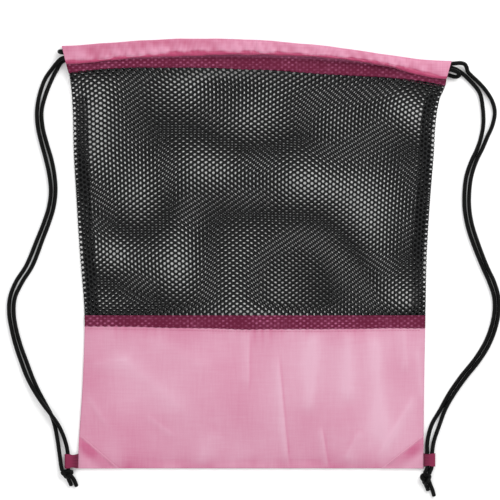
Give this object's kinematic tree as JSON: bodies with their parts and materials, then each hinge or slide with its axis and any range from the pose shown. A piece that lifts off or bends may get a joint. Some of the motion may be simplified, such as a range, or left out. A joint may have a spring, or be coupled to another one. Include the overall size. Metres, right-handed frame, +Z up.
{
  "type": "drawstring backpack",
  "caption": "Flat drawstring backpack with a see-through net upper half, a woven lower panel, and cords that close the mouth and serve as shoulder straps.",
  "frame": {"origin": "centre of the bag's box without its free cords, on the surface that the back lies on", "axes": "+X across the bag to the right side seam, +Y from the bottom seam to the mouth, +Z up from the back to the front"},
  "size_m": [0.4941, 0.4582, 0.0231],
  "materials": {
    "pink_taffeta": "woven polyester, soft sheen",
    "banded_net": "black net sewn over deep pink fabric",
    "black_net": "knitted polyester net, matt",
    "tab_webbing": "folded woven tape",
    "black_cord": "braided polyester cord, satin",
    "thread": "polyester thread"
  },
  "bodies": {
    "bag": {"front_lower_panel": "pink_taffeta", "back_lower_panel": "pink_taffeta", "front_lower_band": "banded_net", "back_lower_band": "banded_net", "front_net_panel": "black_net", "back_net_panel": "black_net", "front_upper_band": "banded_net", "back_upper_band": "banded_net", "front_casing": "pink_taffeta", "back_casing": "pink_taffeta", "left_side_seam": "black_net", "right_side_seam": "black_net", "bottom_seam": "pink_taffeta", "left_corner_patch": "pink_taffeta", "right_corner_patch": "pink_taffeta", "left_tab": "tab_webbing", "right_tab": "tab_webbing", "left_cord_front_run": "black_cord", "left_cord_back_run": "black_cord", "right_cord_front_run": "black_cord", "right_cord_back_run": "black_cord", "left_front_strand": "black_cord", "left_back_strand": "black_cord", "right_front_strand": "black_cord", "right_back_strand": "black_cord", "left_knot": "black_cord", "right_knot": "black_cord", "left_knot_outer_tail": "black_cord", "left_knot_inner_tail": "black_cord", "right_knot_inner_tail": "black_cord", "right_knot_outer_tail": "black_cord"},
    "left_mouth_end": {"right_cord_bight": "black_cord", "left_mouth_tack": "thread"},
    "right_mouth_end": {"left_cord_bight": "black_cord", "right_mouth_tack": "thread"}
  },
  "joints": [
    {"name": "left_draw", "type": "slide", "parent": "bag", "child": "left_mouth_end", "axis": [1, 0, 0], "range_m": [0, 0.08], "deforming": ["front_casing", "back_casing", "front_upper_band", "back_upper_band", "front_net_panel", "back_net_panel", "left_side_seam", "left_cord_front_run", "left_cord_back_run", "right_cord_front_run", "right_cord_back_run", "left_front_strand", "left_back_strand"]},
    {"name": "right_draw", "type": "slide", "parent": "bag", "child": "right_mouth_end", "axis": [-1, 0, 0], "range_m": [0, 0.08], "deforming": ["right_side_seam", "right_front_strand", "right_back_strand"]}
  ]
}
